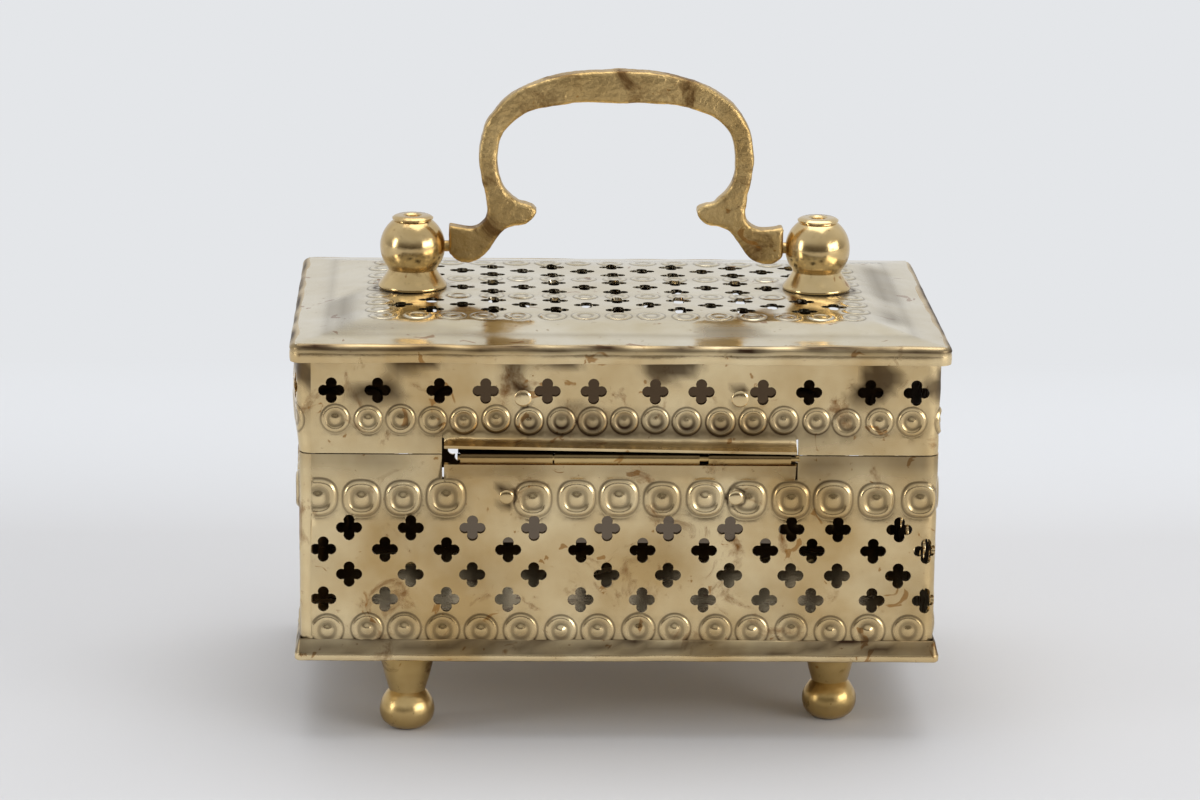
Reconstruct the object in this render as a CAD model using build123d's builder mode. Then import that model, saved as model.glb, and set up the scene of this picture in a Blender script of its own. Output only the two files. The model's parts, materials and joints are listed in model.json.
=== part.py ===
import math
import os

from build123d import *

os.makedirs("parts", exist_ok=True)

# Driving sizes, in millimetres. X runs along the box, -Y is the hinge side, Z is up from the floor.
lid_length = 115.0
lid_depth = 76.0
end_overhang = 1.8
side_overhang = 2.0
sheet = 0.6
running_gap = 0.05
seam_gap = 0.2

# Levels
foot_height = 14.5
floor_sheet = 0.8
base_wall_height = 36.4
lid_wall_height = 18.9
skirt_reach = 1.0
skirt_land = 0.25
skirt_lip_height = 1.4
skirt_slope_height = 2.4

# Lid plate and its turned-down edge
plate_sheet = 0.7
hem_sheet = 0.8
hem_drop = 2.5
corner_radius = 2.5
edge_flat = 1.0
rim_width = 5.5
rim_rise = 0.7
bevel_width = 6.7
bevel_rise = 1.1
step_width = 3.3
step_rise = 0.7

# Piercing
hole_width = 4.6
hole_notch = 0.6
hole_lobe_angle = 20
hole_margin = 0.4
base_pitch = 10.75
base_row_drops = (13.2, 17.1, 21.6, 26.1)
base_row_shift = -4.5
base_pass_starts = (-47.1, -2.1, 38.3)
base_pass_counts = (4, 4, 2)
lid_pair_pitch = 18.9
lid_pair_spacing = 8.2
lid_row_rise = 11.2
top_band_pitch = 14.7
top_row_pitch = 3.7
top_hole_pitch = 11.0

# Hinge
knuckle_radius = 1.15
pin_radius = 0.6
knuckle_standoff = 1.5
knuckle_spans = ((-27.8, -11.8), (-11.5, 13.7), (15.3, 29.6))
pin_ends = (0.5, 1.5)
leaf_half_length = 28.2
lid_leaf_height = 14.6
base_leaf_height = 15.9
web_rise = 0.15
flap_half_length = 30.6
slit = 0.4
lid_flap_height = 3.0
lid_flap_reach = 2.9
lid_flap_rise = 0.7
base_flap_height = 4.4
base_flap_reach = 1.2
base_flap_drop = 1.7
rivet_shank_radius = 0.9
rivet_tail = 0.5
rivet_tail_radius = 1.3
rivet_head = 0.7
rivet_taper = 25
lid_rivet_radius = 1.5
base_rivet_radius = 1.3
lid_rivets = (("left", -17.0), ("right", 20.7))
base_rivets = (("left", -19.7), ("right", 20.3))
lid_rivet_rise = 10.0
base_rivet_drop = 7.5

# Feet
foot_pad_radius = 2.2
foot_ball_radius = 5.1
foot_ball_height = 7.15
foot_neck_radius = 3.4
foot_swell = 0.555
foot_flare_radius = 5.25
tenon_radius = 1.5
peen_radius = 2.4
peen_height = 0.6
foot_insets = {
    "rear_left": (18.7, 7.5),
    "rear_right": (17.0, 14.0),
    "front_left": (18.2, 9.0),
    "front_right": (18.2, 8.5),
}

# Handle posts
post_half_span = 36.5
post_flange_radius = 6.2
post_flange_height = 0.9
post_neck_height = 3.3
post_ball_radius = 5.95
post_ball_height = 7.35
post_collar_radius = 3.45
post_collar_height = 13.0
post_dimple_radius = 1.6
post_dimple_depth = 2.0

# Handle
handle_height = 32.4
handle_depth = 4.0
handle_end_gap = 0.35
handle_pin_radius = 1.0
handle_pin_length = 3.6
pin_end_gap = 0.2

# Catch on the front
catch_pivot_x = -8.0
catch_pivot_rise = 5.6
catch_throw = 12.0
catch_angle = 35
catch_sheet = 0.7
catch_shoulder_height = 0.4
catch_arm_width = 2.6
catch_eye_radius = 2.2
catch_head_radius = 3.4
catch_throat_radius = 1.7
catch_shank_radius = 1.0
catch_shoulder_radius = 1.6
catch_cap_radius = 2.1
catch_cap_height = 0.7
stud_gap = 0.3

# What follows from the driving sizes
wall_half_length = lid_length / 2 - end_overhang
wall_half_depth = lid_depth / 2 - side_overhang
wall_inside = wall_half_depth - sheet
leaf_inside = wall_inside - sheet
foot_places = {
    name: (
        (wall_half_length - inset_x) * (-1 if "left" in name else 1),
        (wall_half_depth - inset_y) * (-1 if "rear" in name else 1),
    )
    for name, (inset_x, inset_y) in foot_insets.items()
}
floor_top = foot_height + floor_sheet
seam = floor_top + base_wall_height
lid_wall_bottom = seam + seam_gap
rim_bottom = lid_wall_bottom + lid_wall_height
rim_top = rim_bottom + plate_sheet
panel_top = rim_top + rim_rise + bevel_rise + step_rise
panel_inset = rim_width + bevel_width + step_width
pivot_level = panel_top + post_ball_height
hinge_y = -wall_half_depth - knuckle_standoff
rivet_bore = rivet_shank_radius + running_gap
lid_rivet_level = lid_wall_bottom + lid_rivet_rise
base_rivet_level = seam - base_rivet_drop
catch_level = lid_wall_bottom + catch_pivot_rise
stud_x = catch_pivot_x + catch_throw * math.sin(math.radians(catch_angle))
stud_level = catch_level - catch_throw * math.cos(math.radians(catch_angle))
catch_bore = catch_shank_radius + running_gap
handle_half = post_half_span - post_ball_radius - handle_end_gap


class Quatrefoil(BaseSketchObject):
    """One pierced hole: four blunt lobes with a notch between each pair."""

    def __init__(self, width, mode=Mode.ADD):
        points = []
        for lobe in range(4):
            for turn, share in ((-hole_lobe_angle, 1), (hole_lobe_angle, 1), (45, hole_notch)):
                angle = math.radians(90 * lobe + turn)
                points.append((share * width / 2 * math.cos(angle), share * width / 2 * math.sin(angle)))
        with BuildSketch() as hole:
            with BuildLine():
                Polyline(*points, close=True)
            make_face()
        super().__init__(obj=hole.sketch, align=None, mode=mode)


def finish(built, name):
    built.part.label = name
    export_step(built.part, f"parts/{name}.step")


def fits(place, half_width):
    """Whether a hole at this distance from the middle stays inside the sheet."""
    return abs(place) + hole_width / 2 + hole_margin < half_width


def even_row(half_width, pitch, between=False):
    """Evenly pitched places about the middle, on it or either side of it."""
    first = 0.5 if between else 0.0
    reach = int(half_width / pitch) + 1
    places = [(step + first) * pitch for step in range(-reach - 1, reach + 1)]
    return [place for place in places if fits(place, half_width)]


def long_base_holes():
    """The staggered rows of a long base wall, struck in passes of the die."""
    places = []
    for row, drop in enumerate(base_row_drops):
        for start, count in zip(base_pass_starts, base_pass_counts):
            for step in range(count):
                along = start + step * base_pitch + base_row_shift * (row % 2)
                if fits(along, wall_half_length):
                    places.append((along, seam - drop))
    return places


def end_base_holes():
    """The same rows on a short base wall."""
    places = []
    for row, drop in enumerate(base_row_drops):
        for along in even_row(wall_inside, base_pitch, between=row % 2 == 0):
            places.append((along, seam - drop))
    return places


def lid_holes(half_length):
    """Pairs of holes along a lid wall."""
    places = []
    for middle in even_row(half_length + lid_pair_spacing, lid_pair_pitch, between=True):
        for side in (-1, 1):
            along = middle + side * lid_pair_spacing / 2
            if fits(along, half_length):
                places.append((along, lid_wall_bottom + lid_row_rise))
    return places


def top_holes():
    """Three bands of staggered rows on the panel, clear of the posts."""
    places = []
    keep_clear = post_flange_radius + hole_width / 2 + hole_margin
    for band in (-1, 0, 1):
        for row in (-1, 0, 1):
            across = band * top_band_pitch + row * top_row_pitch
            for along in even_row(lid_length / 2 - panel_inset, top_hole_pitch, between=row == 0):
                if math.hypot(abs(along) - post_half_span, across) > keep_clear:
                    places.append((along, across))
    return places


def flap_outline(crease, tip_y, tip_z):
    """Section of the strip of a rear wall that is bent outward past the knuckles."""
    reach = tip_y + wall_inside
    rise = tip_z - crease
    slant = math.hypot(reach, rise)
    lean_y = -sheet * abs(rise) / slant
    lean_z = sheet * abs(reach) / slant * (1 if rise < 0 else -1)
    outer_crease = crease + lean_z + (-sheet - lean_y) * rise / reach
    return [
        (-wall_inside, crease),
        (-wall_half_depth, outer_crease),
        (tip_y + lean_y, tip_z + lean_z),
        (tip_y, tip_z),
    ]


def panel(plane, half_length, low, high, holes, bores=(), window=None, flap=None):
    """One pierced wall in its own plane, with an open window and a bent flap where the hinge passes."""
    with BuildPart() as wall:
        with BuildSketch(plane):
            with Locations((0, (low + high) / 2)):
                Rectangle(2 * half_length, high - low)
            if window:
                with Locations((0, sum(window) / 2)):
                    Rectangle(2 * (flap_half_length + slit), window[1] - window[0], mode=Mode.SUBTRACT)
            with Locations(*holes):
                Quatrefoil(hole_width, mode=Mode.SUBTRACT)
            for place, radius in bores:
                with Locations(place):
                    Circle(radius, mode=Mode.SUBTRACT)
        extrude(amount=sheet)
        if flap:
            with BuildSketch(Plane.YZ.offset(-flap_half_length)):
                with BuildLine():
                    Polyline(*flap, close=True)
                make_face()
            extrude(amount=2 * flap_half_length)
    return wall


# Walls: each pair of long walls closes over the ends of the short ones
rear = Plane.XZ.offset(wall_inside)
front = Plane.XZ.offset(-wall_half_depth)
left = Plane.YZ.offset(-wall_half_length)
right = Plane.YZ.offset(wall_half_length - sheet)
lid_crease = seam + lid_flap_height
base_crease = seam - base_flap_height
lid_flap = flap_outline(lid_crease, -wall_half_depth - lid_flap_reach, seam + lid_flap_rise)
base_flap = flap_outline(base_crease, -wall_half_depth - base_flap_reach, seam - base_flap_drop)
rear_reach = -lid_flap[2][0]

base_wall_rear = panel(
    rear,
    wall_half_length,
    floor_top,
    seam,
    long_base_holes(),
    bores=[((x, base_rivet_level), rivet_bore) for _, x in base_rivets],
    window=(base_crease, seam),
    flap=base_flap,
)
finish(base_wall_rear, "base_wall_rear")

base_wall_front = panel(
    front,
    wall_half_length,
    floor_top,
    seam,
    long_base_holes(),
    bores=[((stud_x, stud_level), catch_bore)],
)
finish(base_wall_front, "base_wall_front")

for name, plane in (("left", left), ("right", right)):
    end_wall = panel(plane, wall_inside, floor_top, seam, end_base_holes())
    finish(end_wall, f"base_wall_{name}")

lid_wall_rear = panel(
    rear,
    wall_half_length,
    lid_wall_bottom,
    rim_bottom,
    lid_holes(wall_half_length),
    bores=[((x, lid_rivet_level), rivet_bore) for _, x in lid_rivets],
    window=(lid_wall_bottom, lid_crease),
    flap=lid_flap,
)
finish(lid_wall_rear, "lid_wall_rear")

lid_wall_front = panel(
    front,
    wall_half_length,
    lid_wall_bottom,
    rim_bottom,
    lid_holes(wall_half_length),
    bores=[((catch_pivot_x, catch_level), catch_bore)],
)
finish(lid_wall_front, "lid_wall_front")

for name, plane in (("left", left), ("right", right)):
    end_wall = panel(plane, wall_inside, lid_wall_bottom, rim_bottom, lid_holes(wall_inside))
    finish(end_wall, f"lid_wall_{name}")

# Floor: the walls stand on it and the feet are riveted through it
with BuildPart() as base_floor:
    with BuildSketch(Plane.XY.offset(foot_height)):
        Rectangle(2 * wall_half_length, 2 * wall_half_depth)
        with Locations(*foot_places.values()):
            Circle(tenon_radius + running_gap, mode=Mode.SUBTRACT)
    extrude(amount=floor_sheet)
finish(base_floor, "base_floor")

# Skirt: an upright lip that slopes in to the walls
with BuildPart() as base_skirt:
    with BuildSketch(Plane.XY.offset(foot_height)):
        Rectangle(2 * (wall_half_length + skirt_reach), 2 * (wall_half_depth + skirt_reach))
    extrude(amount=skirt_lip_height)
    with BuildSketch(Plane.XY.offset(foot_height + skirt_lip_height)):
        Rectangle(2 * (wall_half_length + skirt_reach), 2 * (wall_half_depth + skirt_reach))
    with BuildSketch(Plane.XY.offset(foot_height + skirt_lip_height + skirt_slope_height)):
        Rectangle(2 * (wall_half_length + skirt_land), 2 * (wall_half_depth + skirt_land))
    loft(ruled=True)
    with BuildSketch(Plane.XY.offset(foot_height)):
        Rectangle(2 * wall_half_length, 2 * wall_half_depth)
    extrude(amount=skirt_lip_height + skirt_slope_height, mode=Mode.SUBTRACT)
finish(base_skirt, "base_skirt")


def raised_middle(level):
    """The rim, bevel and step that lift the middle of the lid plate, as a solid from this level up."""
    inset = edge_flat
    with BuildPart() as middle:
        for width, rise in (
            (0, 0),
            (rim_width - edge_flat, rim_rise),
            (bevel_width, bevel_rise),
            (step_width, step_rise),
        ):
            inset += width
            level += rise
            with BuildSketch(Plane.XY.offset(level)):
                Rectangle(lid_length - 2 * inset, lid_depth - 2 * inset)
        loft(ruled=True)
    return middle.part


# Lid plate, pressed up in the middle and pierced
plate_middle = raised_middle(rim_top)
plate_hollow = raised_middle(rim_bottom)
with BuildPart() as lid_top:
    with BuildSketch(Plane.XY.offset(rim_bottom)):
        RectangleRounded(lid_length, lid_depth, corner_radius)
    extrude(amount=plate_sheet)
    add(plate_middle)
    add(plate_hollow, mode=Mode.SUBTRACT)
    with BuildSketch(Plane.XY.offset(panel_top)):
        with Locations(*top_holes()):
            Quatrefoil(hole_width)
        with Locations((-post_half_span, 0), (post_half_span, 0)):
            Circle(tenon_radius + running_gap)
    extrude(amount=-2 * plate_sheet, mode=Mode.SUBTRACT)
finish(lid_top, "lid_top")

# Edge of the plate, turned down round the lid
with BuildPart() as lid_hem:
    with BuildSketch(Plane.XY.offset(rim_bottom)):
        RectangleRounded(lid_length, lid_depth, corner_radius)
        RectangleRounded(
            lid_length - 2 * hem_sheet,
            lid_depth - 2 * hem_sheet,
            corner_radius - hem_sheet,
            mode=Mode.SUBTRACT,
        )
    extrude(amount=-hem_drop)
finish(lid_hem, "lid_hem")


def upright(x, y, z=0):
    """A plane facing -Y, with its height along the local Y."""
    return Plane(origin=(x, y, z), x_dir=(1, 0, 0), z_dir=(0, -1, 0))


# Feet: a ball, a neck and a flare up to the floor, peened over on the inside
for name, (x, y) in foot_places.items():
    with BuildPart() as foot:
        with BuildSketch(upright(x, y)):
            with BuildLine():
                Polyline((0, floor_top + peen_height), (0, 0), (foot_pad_radius, 0))
                ThreePointArc(
                    (foot_pad_radius, 0),
                    (foot_ball_radius, foot_ball_height / 2),
                    (foot_neck_radius, foot_ball_height),
                )
                ThreePointArc(
                    (foot_neck_radius, foot_ball_height),
                    (foot_neck_radius + foot_swell, (foot_ball_height + foot_height) / 2),
                    (foot_flare_radius, foot_height),
                )
                Polyline(
                    (foot_flare_radius, foot_height),
                    (tenon_radius, foot_height),
                    (tenon_radius, floor_top),
                    (peen_radius, floor_top),
                    (tenon_radius, floor_top + peen_height),
                    (0, floor_top + peen_height),
                )
            make_face()
        revolve(axis=Axis((x, y, 0), (0, 0, 1)))
    finish(foot, f"foot_{name}")

# Posts: a flange, a waist and a ball with a dimpled collar, bored for the handle's pin
ball_start = math.sqrt(post_ball_radius**2 - (post_ball_height - post_neck_height) ** 2)
ball_end = pivot_level + math.sqrt(post_ball_radius**2 - post_collar_radius**2)
pin_bore_end = handle_half + handle_pin_length + pin_end_gap
for name, side in (("left", -1), ("right", 1)):
    with BuildPart() as post:
        with BuildSketch(upright(side * post_half_span, 0)):
            with BuildLine():
                Polyline(
                    (0, panel_top + post_collar_height - post_dimple_depth),
                    (0, panel_top - plate_sheet - peen_height),
                    (tenon_radius, panel_top - plate_sheet - peen_height),
                    (peen_radius, panel_top - plate_sheet),
                    (tenon_radius, panel_top - plate_sheet),
                    (tenon_radius, panel_top),
                    (post_flange_radius, panel_top),
                    (post_flange_radius, panel_top + post_flange_height),
                    (ball_start, panel_top + post_neck_height),
                )
                ThreePointArc(
                    (ball_start, panel_top + post_neck_height),
                    (post_ball_radius, pivot_level),
                    (post_collar_radius, ball_end),
                )
                Polyline(
                    (post_collar_radius, ball_end),
                    (post_collar_radius, panel_top + post_collar_height),
                    (post_dimple_radius, panel_top + post_collar_height),
                    (0, panel_top + post_collar_height - post_dimple_depth),
                )
            make_face()
        revolve(axis=Axis((side * post_half_span, 0, 0), (0, 0, 1)))
        with BuildSketch(Plane.YZ.offset(side * pin_bore_end)):
            with Locations((0, pivot_level)):
                Circle(handle_pin_radius + running_gap)
        extrude(amount=-side * (pin_bore_end - handle_half), mode=Mode.SUBTRACT)
    finish(post, f"post_{name}")


def half_outline(*shares):
    """Points of the handle's left half, as shares of its half length and of its height."""
    return [(-x * handle_half, z * handle_height) for x, z in shares]


outer_bow = half_outline((0, 1), (0.36, 0.966), (0.67, 0.827), (0.80, 0.627), (0.811, 0.42), (0.765, 0.2))
shoulder = half_outline((0.765, 0.2), (0.845, 0.112), (1, 0.132))
lobe = half_outline((1, -0.034), (0.887, -0.09), (0.76, -0.023), (0.665, 0.098), (0.6, 0.124))
spur = half_outline((0.6, 0.124), (0.536, 0.123), (0.474, 0.185), (0.5, 0.24), (0.576, 0.258))
inner_bow = half_outline(
    (0.576, 0.258), (0.699, 0.404), (0.692, 0.611), (0.546, 0.753), (0.205, 0.812), (0, 0.812)
)

# Handle: a cast bail with a curled spur inside each arm and a pin into each post
with BuildPart() as handle:
    with BuildSketch(upright(0, handle_depth / 2, pivot_level)):
        with BuildLine():
            Spline(*outer_bow)
            Spline(*shoulder)
            Line(shoulder[-1], lobe[0])
            Spline(*lobe)
            Spline(*spur)
            Spline(*inner_bow)
            Line(inner_bow[-1], outer_bow[0])
        make_face()
        mirror(about=Plane.YZ)
    extrude(amount=handle_depth)
    for side in (-1, 1):
        with BuildSketch(Plane.YZ.offset(side * handle_half)):
            with Locations((0, pivot_level)):
                Circle(handle_pin_radius)
        extrude(amount=side * handle_pin_length)
finish(handle, "handle")

# Hinge: two leaves inside the walls, rolled into knuckles outside, on one pin
for name, low, high, spans, side in (
    ("lid", seam + web_rise, lid_wall_bottom + lid_leaf_height, knuckle_spans[1:2], 1),
    ("base", seam - base_leaf_height, seam - web_rise, knuckle_spans[::2], -1),
):
    rivets = lid_rivets if name == "lid" else base_rivets
    rivet_level = lid_rivet_level if name == "lid" else base_rivet_level
    with BuildPart() as leaf:
        with BuildSketch(Plane.XZ.offset(leaf_inside)):
            with Locations((0, (low + high) / 2)):
                Rectangle(2 * leaf_half_length, high - low)
            with Locations(*[(x, rivet_level) for _, x in rivets]):
                Circle(rivet_bore, mode=Mode.SUBTRACT)
        extrude(amount=sheet)
        for start, end in spans:
            with BuildSketch(Plane.YZ.offset(start)):
                with Locations((hinge_y, seam)):
                    Circle(knuckle_radius)
                with Locations(((hinge_y - leaf_inside) / 2, seam + side * (web_rise + sheet / 2))):
                    Rectangle(-leaf_inside - hinge_y, sheet)
                with Locations((hinge_y, seam)):
                    Circle(pin_radius + running_gap, mode=Mode.SUBTRACT)
            extrude(amount=end - start)
    finish(leaf, f"hinge_leaf_{name}")

with BuildPart() as hinge_pin:
    pin_start = knuckle_spans[0][0] - pin_ends[0]
    with BuildSketch(Plane.YZ.offset(pin_start)):
        with Locations((hinge_y, seam)):
            Circle(pin_radius)
    extrude(amount=knuckle_spans[-1][1] + pin_ends[1] - pin_start)
finish(hinge_pin, "hinge_pin")

# Rivets through wall and leaf, headed outside and peened inside
for part_name, rivets, level, radius in (
    ("lid", lid_rivets, lid_rivet_level, lid_rivet_radius),
    ("base", base_rivets, base_rivet_level, base_rivet_radius),
):
    for name, x in rivets:
        with BuildPart() as rivet:
            with BuildSketch(Plane.XZ.offset(leaf_inside)):
                with Locations((x, level)):
                    Circle(rivet_shank_radius)
            extrude(amount=2 * sheet)
            with BuildSketch(Plane.XZ.offset(wall_half_depth)):
                with Locations((x, level)):
                    Circle(radius)
            extrude(amount=rivet_head, taper=rivet_taper)
            with BuildSketch(Plane.XZ.offset(leaf_inside)):
                with Locations((x, level)):
                    Circle(rivet_tail_radius)
            extrude(amount=-rivet_tail)
        finish(rivet, f"rivet_{part_name}_{name}")

# Catch: a hook that hangs from the lid and swings onto a stud on the base
hook_back = wall_half_depth + catch_shoulder_height + running_gap
hook_face = hook_back + catch_sheet
with BuildPart() as catch_hook:
    with BuildSketch(upright(catch_pivot_x, hook_face, catch_level)):
        Circle(catch_eye_radius)
        with Locations((0, -catch_throw / 2)):
            Rectangle(catch_arm_width, catch_throw)
        with Locations((0, -catch_throw)):
            Circle(catch_head_radius)
            Circle(catch_throat_radius, mode=Mode.SUBTRACT)
        with Locations((catch_head_radius / 2, -catch_throw)):
            Rectangle(catch_head_radius + running_gap, 2 * catch_throat_radius, mode=Mode.SUBTRACT)
        Circle(catch_bore, mode=Mode.SUBTRACT)
    extrude(amount=catch_sheet)
finish(catch_hook, "catch_hook")

for name, x, level, shoulder_height, cap_start, cap_end in (
    (
        "catch_rivet",
        catch_pivot_x,
        catch_level,
        catch_shoulder_height,
        hook_face + running_gap,
        hook_face + running_gap + catch_cap_height,
    ),
    ("catch_stud", stud_x, stud_level, catch_shoulder_height / 2, hook_face + stud_gap, rear_reach),
):
    with BuildPart() as stud:
        with BuildSketch(Plane.XZ.offset(-wall_inside)):
            with Locations((x, level)):
                Circle(catch_shank_radius)
        extrude(amount=wall_inside - cap_start)
        with BuildSketch(Plane.XZ.offset(-wall_half_depth)):
            with Locations((x, level)):
                Circle(catch_shoulder_radius)
        extrude(amount=-shoulder_height)
        with BuildSketch(Plane.XZ.offset(-cap_start)):
            with Locations((x, level)):
                Circle(catch_cap_radius)
        extrude(amount=cap_start - cap_end)
        with BuildSketch(Plane.XZ.offset(-wall_inside)):
            with Locations((x, level)):
                Circle(catch_shoulder_radius)
        extrude(amount=rivet_tail)
    finish(stud, name)
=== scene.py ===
import json
import math
import random

import bpy
from mathutils import Matrix, Vector, noise
from mathutils.geometry import delaunay_2d_cdt


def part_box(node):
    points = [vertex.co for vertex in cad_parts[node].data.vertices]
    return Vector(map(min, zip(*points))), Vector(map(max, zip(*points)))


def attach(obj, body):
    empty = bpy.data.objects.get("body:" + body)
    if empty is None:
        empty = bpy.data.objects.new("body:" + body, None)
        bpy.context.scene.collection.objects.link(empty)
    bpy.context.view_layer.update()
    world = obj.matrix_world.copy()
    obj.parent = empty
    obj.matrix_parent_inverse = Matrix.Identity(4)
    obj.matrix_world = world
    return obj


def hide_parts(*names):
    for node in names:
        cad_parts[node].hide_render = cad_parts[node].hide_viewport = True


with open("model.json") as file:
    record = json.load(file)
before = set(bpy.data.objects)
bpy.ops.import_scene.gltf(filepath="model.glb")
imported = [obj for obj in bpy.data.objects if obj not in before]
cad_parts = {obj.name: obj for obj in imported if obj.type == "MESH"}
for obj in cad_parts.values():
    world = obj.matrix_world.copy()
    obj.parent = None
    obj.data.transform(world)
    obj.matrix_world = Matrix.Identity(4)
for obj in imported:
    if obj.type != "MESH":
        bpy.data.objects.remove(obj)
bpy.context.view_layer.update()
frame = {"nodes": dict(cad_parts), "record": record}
mm = 0.001

# Camera: nearly level with the lid and a little left of the middle, where the photograph was taken from.
# Its long lens keeps the far edge of the lid almost as long as the near one.
camera_place = Vector((-0.029, -0.7771, 0.2399))
camera_yaw = math.radians(-1.96)
camera_pitch = math.radians(90 - 13.52)
camera_roll = math.radians(0.74)
photo_width = 1200
focal_pixels = 4400
camera_data = bpy.data.cameras.new("camera")
camera_data.sensor_width = 36
camera_data.lens = 36 * focal_pixels / photo_width
camera = bpy.data.objects.new("camera", camera_data)
turn = Matrix.Rotation(camera_yaw, 4, "Z") @ Matrix.Rotation(camera_pitch, 4, "X")
camera.matrix_world = Matrix.Translation(camera_place) @ turn @ Matrix.Rotation(camera_roll, 4, "Z")
bpy.context.scene.collection.objects.link(camera)
bpy.context.scene.camera = camera
bpy.context.scene.view_settings.view_transform = "Standard"


# Skirt and floor plate: sheet brass with an upright lip and a slope up to the walls, soldered round the foot
# of the box. Polish never reaches the slope, so it is the brownest part, and only the lip is rubbed bright.
def colour(code):
    """Linear colour of an sRGB hex code."""
    shares = [int(code[place:place + 2], 16) / 255 for place in (1, 3, 5)]
    return [s / 12.92 if s <= 0.04045 else ((s + 0.055) / 1.055) ** 2.4 for s in shares] + [1]


def add_node(tree, kind, inputs, stops=(), **settings):
    """The outputs of a new node with its settings, its inputs as values or links, and any ramp stops."""
    node = tree.nodes.new("ShaderNode" + kind)
    for name, value in settings.items():
        setattr(node, name, value)
    for name, value in inputs.items():
        if isinstance(value, bpy.types.NodeSocket):
            tree.links.new(value, node.inputs[name])
        else:
            node.inputs[name].default_value = value
    for number, (place, shade) in enumerate(stops):
        elements = node.color_ramp.elements
        element = elements[number] if number < 2 else elements.new(place)
        element.position = place
        element.color = colour(shade) if isinstance(shade, str) else (shade, shade, shade, 1)
    return node.outputs


def aged_brass(name, clean, warm, brown, brown_start, polish, grain, relief):
    """Brass under years of handling: warm clouds, brown stains, ochre drip marks and dark specks, each layer
    with its patch size in millimetres, and a point attribute of tarnish and painted shade that darkens it.
    Stains and that darkening are dull, and a fine relief breaks up the shine."""
    material = bpy.data.materials.new(name)
    material.use_nodes = True
    tree = material.node_tree
    shader = tree.nodes["Principled BSDF"]
    shader.inputs["Metallic"].default_value = 1.0
    place = add_node(tree, "TexCoord", {})["Object"]
    brown_full = brown_start + 0.13
    layers = (
        (20, warm, 0.36, 0.66, 1.0, {"Detail": 4.0, "Roughness": 0.6}),
        (9, brown, brown_start, brown_full, 1.0, {"Detail": 7.0, "Roughness": 0.66, "Distortion": 0.7}),
        (4.5, "#99692F", 0.665, 0.69, 0.75, {"Detail": 3.0, "Roughness": 0.55, "Distortion": 0.9}),
        (1.5, brown, 0.66, 0.74, 0.7, {"Detail": 3.0, "Roughness": 0.7}),
    )
    tone = colour(clean)
    shares = []
    for patch, shade, low, high, most, settings in layers:
        field = add_node(tree, "TexNoise", {"Vector": place, "Scale": 1 / (patch * mm), **settings})["Fac"]
        share = add_node(tree, "ValToRGB", {"Fac": field}, ((low, 0.0), (high, most)))["Color"]
        tone = add_node(tree, "Mix", {0: share, 6: tone, 7: colour(shade)}, data_type="RGBA")[2]
        shares.append(share)
    # This attribute holds tarnish and painted shade; it darkens the colour and dulls the shine.
    tarnish_and_shade = add_node(tree, "Attribute", {}, attribute_name="tarnish_and_shade")["Fac"]
    tone = add_node(tree, "Mix", {0: tarnish_and_shade, 6: tone, 7: colour("#38271A")}, data_type="RGBA")[2]
    tree.links.new(tone, shader.inputs["Base Color"])
    dulled = (polish, polish, polish, 1)
    for share, dull in ((shares[1], polish + 0.2), (tarnish_and_shade, 0.5)):
        dulled = add_node(tree, "Mix", {0: share, 6: dulled, 7: (dull, dull, dull, 1)}, data_type="RGBA")[2]
    tree.links.new(dulled, shader.inputs["Roughness"])
    fine = add_node(tree, "TexNoise", {"Vector": place, "Scale": 1 / (grain * mm), "Detail": 5.0})["Fac"]
    bump = add_node(tree, "Bump", {"Height": fine, "Strength": relief, "Distance": 0.4 * mm})["Normal"]
    tree.links.new(bump, shader.inputs["Normal"])
    return material


def finish_piece(obj, material, body, slot, *nodes):
    """A finished piece: its material, its body, and the CAD nodes that it stands for."""
    obj.data.materials.clear()
    obj.data.materials.append(material)
    if nodes:
        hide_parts(*nodes)
    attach(obj, body)


def keep_shape(node, material):
    """A CAD piece whose shape is right as it is, with a better material."""
    data = frame["nodes"][node].data
    data.materials.clear()
    data.materials.append(material)


def mesh_object(name, points, faces):
    """A smooth mesh object from points in millimetres."""
    mesh = bpy.data.meshes.new(name)
    mesh.from_pydata([Vector(point) * mm for point in points], [], faces)
    mesh.shade_smooth()
    obj = bpy.data.objects.new(name, mesh)
    bpy.context.scene.collection.objects.link(obj)
    return obj


def clamp(value):
    """A value held between nothing and all."""
    return min(max(value, 0), 1)


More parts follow.
